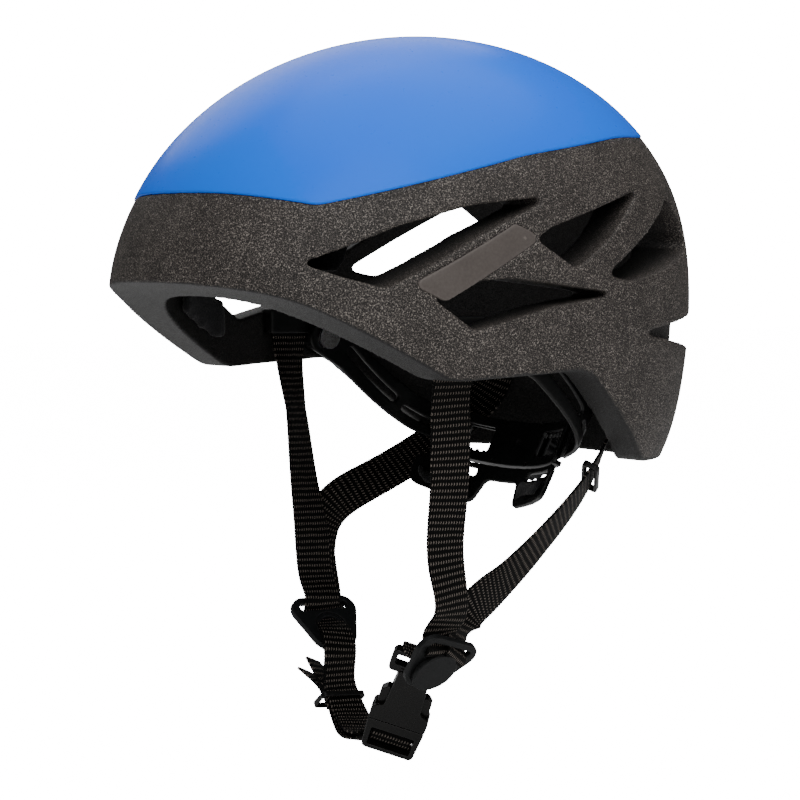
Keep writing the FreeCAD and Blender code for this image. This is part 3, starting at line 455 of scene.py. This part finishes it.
def ribbon(name, stations, thickness=1.3, width=19.0, offset=0.0):
    """Woven strap through (point, width direction[, width[, normal shift]]) stations, in mm."""
    curve, at, marks = smooth_path([s[0] for s in stations], 0.4)
    sides = np.array([np.array(s[1], float) / np.linalg.norm(s[1]) for s in stations])
    widths = np.interp(at, marks, [s[2] if len(s) > 2 else width for s in stations])
    shifts = np.interp(at, marks, [s[3] if len(s) > 3 else 0.0 for s in stations]) + offset
    ahead = np.gradient(curve, axis=0)
    ahead /= np.linalg.norm(ahead, axis=1)[:, None]
    side = np.column_stack([np.interp(at, marks, sides[:, k]) for k in range(3)])
    side -= (side * ahead).sum(1)[:, None] * ahead
    side /= np.linalg.norm(side, axis=1)[:, None]
    proud = np.cross(ahead, side)
    curve = curve + proud * shifts[:, None]
    half = widths / 2 + 0.14 * np.cos(4 * pi * at / WEAVE_ROW)
    profile = [(-1.0, 0.0), (-0.985, 0.42), (-0.94, 0.5), (-0.5, 0.5), (0.0, 0.5), (0.5, 0.5),
               (0.94, 0.5), (0.985, 0.42), (1.0, 0.0), (0.985, -0.42), (0.94, -0.5), (0.5, -0.5),
               (0.0, -0.5), (-0.5, -0.5), (-0.94, -0.5), (-0.985, -0.42)]
    ripple = 1 + 0.10 * np.cos(2 * pi * at / WEAVE_ROW)
    rings = np.stack([curve + side * (half * a)[:, None] + proud * (thickness * b * ripple)[:, None]
                      for a, b in profile], axis=1)
    sections, around = len(at), len(profile)
    faces = [(r * around + i, r * around + (i + 1) % around,
              (r + 1) * around + (i + 1) % around, (r + 1) * around + i)
             for r in range(sections - 1) for i in range(around)]
    faces += [tuple(range(around))[::-1], tuple((sections - 1) * around + i for i in range(around))]
    mesh = bpy.data.meshes.new(name)
    mesh.from_pydata((rings.reshape(-1, 3) * MM).tolist(), [], faces)
    flat_u = np.array([a for a, _ in profile])
    uv = np.stack([np.outer(half, flat_u), np.repeat(at[:, None], around, axis=1)], axis=-1)
    uv = uv.reshape(-1, 2) * MM
    loops = np.empty(len(mesh.loops), dtype=np.int32)
    mesh.loops.foreach_get("vertex_index", loops)
    mesh.uv_layers.new(name="weave").data.foreach_set("uv", uv[loops].ravel())
    item = add_object(name, mesh, WEB)
    return item


SIDES = (("left", 1), ("right", -1))
FRONT_SHIFT = {"left": -5.0, "right": 1.0}      # where the front leg crosses the divider's slot
FRONT_LEAN = {"left": 3.4, "right": 0.6}        # how far sideways it comes from
FRONT_ROUTES = {
    "left": [((85.2, -28, 25), (0, 1, 0)), ((84.9, -28, 12), (0, 1, 0)),
             ((82.0, -28.2, -2), (0.05, 1, 0)), ((79.3, -27, -26), (0.15, 1, 0)),
             ((77, -26.6, -53), (0.1, 1, 0)), ((75.6, -26.5, -82), (0, 1, 0))],
    "right": [((-85.2, -8, 25), (0, 1, 0)), ((-85.2, -8, 14), (0, 1, 0)),
              ((-84, -8, 2), (-0.3, 0.9, 0)), ((-80, -7, -20), (-0.5, 0.86, 0)),
              ((-74.5, -6, -53), (-0.3, 0.95, 0)), ((-67, -6, -84), (0, 1, 0))],
}
REAR_ROUTES = {
    "left": [((52.5, 92.5, 1), (-0.87, 0.5, 0)), ((52.5, 92.5, -5), (-0.87, 0.5, 0)),
             ((55.5, 84, -20), (-0.87, 0.45, -0.2)), ((63.5, 62, -47), (-0.70, 0.52, -0.49)),
             ((63.5, 34, -75), (-0.5, 0.6, -0.55)), ((61.5, 10, -95), (-0.3, 0.6, -0.7))],
    "right": [((-52.5, 92.5, 1), (0.87, 0.5, 0)), ((-52.5, 92.5, -5), (0.87, 0.5, 0)),
              ((-55.5, 84, -20), (0.87, 0.45, -0.2)), ((-63.6, 63.0, -38), (0.66, 0.29, -0.69)),
              ((-71, 31, -56), (0.5, 0.5, -0.5)), ((-76, 8, -72), (0.2, 0.8, -0.5)),
              ((-74, 2, -90), (0, 1, 0))],
}


def make_upper_webbing():
    """Four legs, each carried on through its divider's slot and under the round clamp."""
    for name, side in SIDES:
        at = DIVIDERS[name]
        level = turned(at, side * 1.0, 0, 0)
        shift, lean = FRONT_SHIFT[name], FRONT_LEAN[name]
        front = [(local(at, shift - lean, 19, -3.4), level), (local(at, shift - lean / 2, 12, -3.1), level),
                 (local(at, shift, 8.2, -2.0), level), (local(at, shift, 6.7, 0.8), level),
                 (local(at, shift * 0.9, 5.4, 3.0), level, 18.5),
                 (local(at, shift * 0.8, 3.4, 3.8), level, 18)]
        if name == "left":
            slant, easing = turned(at, 0.9, -0.4, 0), turned(at, 0.97, -0.25, 0)
            rear = [(local(at, 7.5, 19, -8.5), (-0.1, 0.5, -0.85)), (local(at, 6.5, 12.4, -6.0), slant),
                    (local(at, 6.0, 9.2, -3.0), easing, 16), (local(at, 5.4, 7.2, 0.8), easing, 15.5),
                    (local(at, 4.8, 5.6, 4.2), easing, 16), (local(at, 4.0, 3.2, 5.0), easing, 16)]
        else:
            slant = turned(at, -0.75, -0.66, 0)
            rear = [(local(at, -8.0, 18, 7.0), slant), (local(at, -6.0, 9, 5.2), slant),
                    (local(at, -3.5, 3.4, 4.4), slant, 16)]
        for kind, route in (("front", FRONT_ROUTES[name] + front), ("rear", REAR_ROUTES[name] + rear)):
            strap = ribbon("look_webbing_%s_%s" % (kind, name), route)
            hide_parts("webbing_%s_%s" % (kind, name))
            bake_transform(strap)


def make_lower_webbing():
    at = DIVIDERS["right"]
    y = (0, 1, 0)
    across = turned(BUCKLE, 1, 0, 0)
    head = [(local(at, 0, 1.0, 3.3), y, 14), (local(at, 0, -3.5, 1.0), y, 15),
            (local(at, 0.5, -8.5, -1.6), y, 15.5), (local(at, 1.5, -13.5, -2.7), y, 17),
            (local(at, 2.5, -19, -2.4), y), ((-37.5, -9.5, -147), y, 16.5)]
    for index, puff in enumerate((-0.75, 0.75)):
        bulge = puff * (4.6 if index else 2.2)
        route = [station + (17.0,) * (len(station) == 2) + (puff,) for station in head]
        route += [((-31, -10, -158.5), (0.05, 1, 0), 17.5, puff * 2.2),
                  ((-20, -12, -167.5), (0.1, 1, -0.05), 18.5, bulge),
                  ((-6, -13.5, -170.0), (0.3, 0.9, -0.2), 18.0, puff * 1.6),
                  (local(BUCKLE, 0, -19.5, -8.6), across, 18.0, puff)]
        strap = ribbon("look_lower_strap_%d" % index, route, 1.1)
        if index == 0:
            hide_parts("lower_strap")
        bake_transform(strap)
    loop = [(local(DIVIDERS["left"], 0.0, -10, -3.0), turned(DIVIDERS["left"], 1, 0, 0)),
            (local(BUCKLE, 0, 44.6, -0.5), across), (local(BUCKLE, 0, 43.4, -3.4), across),
            (local(BUCKLE, 0, 37.0, -4.2), across)]
    stand_for(ribbon("look_buckle_loop", loop), "buckle_loop")
    wrap = [(local(BUCKLE, 0, -5.6, -1.4), across), (local(BUCKLE, 0, -7.4, 0.9), across),
            (local(BUCKLE, 0, -10.8, 1.9), across), (local(BUCKLE, 0, -14.0, 0.9), across),
            (local(BUCKLE, 0, -16.4, -2.4), across)]
    stand_for(ribbon("look_male_webbing", wrap, 1.2), "male_webbing")


def make_tails():
    """Two loose ends above the keeper, cut."""
    pieces = []
    for index, (level, spread) in enumerate(((-3.1, 0.0), (-5.1, 1.0))):
        route = [((0, level, 4.0), (1, 0, 0), 13), ((0, level - 0.2, -5.0), (1, 0, 0), 13.5),
                 ((-2.5 - spread, level - 1.6 - 2 * spread, -14.0), (0.9, -0.3, 0), 14),
                 ((-5 - 3 * spread, level - 3.4 - 4 * spread, -24 + 2 * spread), (0.8, -0.5, 0), 14)]
        stations = [(local(KEEPER, *at), turned(KEEPER, *across), width) for at, across, width in route]
        pieces.append(ribbon("look_strap_tail_%d" % index, stations, 1.2))
    stand_for(pieces[0], "strap_tails")
    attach(pieces[1], "chinstrap")


# ---------------------------------------------------------------- pads

def make_pads():
    """Stuffed pads: swollen by cloth pressure from a remeshed copy, with a capped movement."""
    for node, voxel in (("crown_pad", 4.0), ("brow_pad", 4.0), ("side_pad_left", 4.0),
                        ("side_pad_right", 4.0), ("nape_pad_left", 4.0), ("nape_pad_right", 4.0)):
        item = add_object("look_" + node, NODES[node].data.copy(), PAD)
        remesh = item.modifiers.new("remesh", "REMESH")
        remesh.mode, remesh.voxel_size = "VOXEL", voxel * MM
        apply_modifiers(item)
        start = vertices(item.data)
        cloth = item.modifiers.new("cloth", "CLOTH")
        cloth.settings.use_pressure = True
        cloth.settings.uniform_pressure_force = 4.0
        cloth.settings.effector_weights.gravity = 0.0
        for number in range(1, 21):
            bpy.context.scene.frame_set(number)
        apply_modifiers(item)
        moved = vertices(item.data) - start
        length = np.maximum(np.linalg.norm(moved, axis=1), 1e-9)
        moved *= np.minimum(1.0, 1.6 * MM / length)[:, None]
        item.data.vertices.foreach_set("co", (start + moved).ravel())
        bpy.context.scene.frame_set(1)
        finer = item.modifiers.new("finer", "SUBSURF")
        finer.levels = finer.render_levels = 1
        apply_modifiers(item)
        stand_for(item, node)


# ---------------------------------------------------------------- plastic parts

MOULDED = (
    ("badge_plate_left", BADGE, 0.55), ("badge_plate_right", BADGE, 0.55),
    ("strap_anchor_front_left", BAND, 0.7), ("strap_anchor_front_right", BAND, 0.7),
    ("strap_anchor_rear_left", BAND, 0.7), ("strap_anchor_rear_right", BAND, 0.7),
    ("strap_guide_left", BAND, 0.35), ("strap_guide_right", BAND, 0.35),
    ("headband_arm_left", BAND, 0.5), ("headband_arm_right", BAND, 0.5),
    ("adjuster_base", BAND, 0.3), ("adjuster_cover", SATIN, 0.4), ("nape_cradle", BAND, 0.45),
    ("rack_left", BAND, 0.3), ("rack_right", BAND, 0.3), ("dial_knob", SATIN, 0.35),
    ("clamp_button_left", SATIN, 0.35), ("clamp_button_right", SATIN, 0.35),
    ("buckle_female", GLOSS, 0.33), ("buckle_male", GLOSS, 0.33),
    ("prong_outer", GLOSS, 0.3), ("prong_inner", GLOSS, 0.3), ("strap_keeper", BAND, 0.25),
    ("divider_frame_left", SATIN, 0.35), ("divider_frame_right", SATIN, 0.35),
)
PLAIN = (
    ("pivot_mount_left", BAND), ("pivot_mount_right", BAND), ("pivot_rivet_left", STEEL),
    ("pivot_rivet_right", STEEL), ("cover_screws", STEEL), ("friction_washer", STEEL),
    ("dial_pinion", BAND),
)


def make_plastics():
    for node, material, voxel in MOULDED:
        moulded(node, material, voxel * (1.0))
    for node, material in PLAIN:
        mesh = NODES[node].data
        for index in range(max(1, len(mesh.materials))):
            NODES[node].material_slots[index].material = material


# ---------------------------------------------------------------- camera, lights and floor

def make_stage():
    target = Vector((0, 0, -0.013))
    turn, lift, away = radians(56), radians(3), 1.3
    eye = target + away * Vector((sin(turn) * cos(lift), -cos(turn) * cos(lift), sin(lift)))
    lens = bpy.data.cameras.new("camera")
    lens.sensor_width, lens.lens = 36, 126.5
    camera = bpy.data.objects.new("camera", lens)
    camera.location = eye
    camera.rotation_euler = (target - eye).to_track_quat("-Z", "Y").to_euler()
    bpy.context.scene.collection.objects.link(camera)
    bpy.context.scene.camera = camera

    def area(name, spot, size, power, colour=(1, 1, 1)):
        lamp = bpy.data.lights.new(name, "AREA")
        lamp.shape, lamp.size, lamp.energy, lamp.color = "DISK", size, power, colour
        item = bpy.data.objects.new(name, lamp)
        item.location = spot
        item.rotation_euler = (target - Vector(spot)).to_track_quat("-Z", "Y").to_euler()
        bpy.context.scene.collection.objects.link(item)
    right = Vector((cos(turn), sin(turn), 0))
    ahead = Vector((-sin(turn), cos(turn), 0))
    area("key", -1.15 * ahead + 0.1 * right + Vector((0, 0, 0.95)), 1.4, 17)
    area("top", 0.1 * ahead + 0.1 * right + Vector((0, 0, 1.5)), 1.8, 16)
    area("side", -0.45 * ahead + 1.3 * right + Vector((0, 0, 0.35)), 1.2, 1.5)
    area("back", 1.0 * ahead - 0.3 * right + Vector((0, 0, 0.9)), 1.2, 5)

    world = bpy.data.worlds.new("studio")
    world.use_nodes = True
    nodes, links = world.node_tree.nodes, world.node_tree.links
    nodes["Background"].inputs["Color"].default_value = (1, 1, 1, 1)
    path = nodes.new("ShaderNodeLightPath")
    strength = nodes.new("ShaderNodeMapRange")
    strength.inputs["To Min"].default_value, strength.inputs["To Max"].default_value = 0.085, 18.0
    links.new(path.outputs["Is Camera Ray"], strength.inputs["Value"])
    links.new(strength.outputs["Result"], nodes["Background"].inputs["Strength"])
    bpy.context.scene.world = world

    s = Shader("floor_pale", roughness=0.6, specular=0.1)
    s.set("Base Color", s.ramp(s.noise(3, 2.0), [(0.3, 0.93), (0.7, 0.95)]))
    s.surface.inputs["Emission Color"].default_value = (1, 1, 1, 1)
    seen = s.node("ShaderNodeLightPath").outputs["Is Camera Ray"]
    s.set("Emission Strength", s.math("MULTIPLY", seen, 16.0))
    mesh = bpy.data.meshes.new("floor")
    mesh.from_pydata([(-6, -6, -0.192), (6, -6, -0.192), (6, 6, -0.192), (-6, 6, -0.192)], [],
                     [(0, 1, 2, 3)])
    floor = bpy.data.objects.new("floor", mesh)
    mesh.materials.append(s.material)
    bpy.context.scene.collection.objects.link(floor)


make_foam()
make_cap()
make_upper_webbing()
make_lower_webbing()
make_tails()
make_pads()
make_plastics()
make_stage()


bpy.context.view_layer.update()
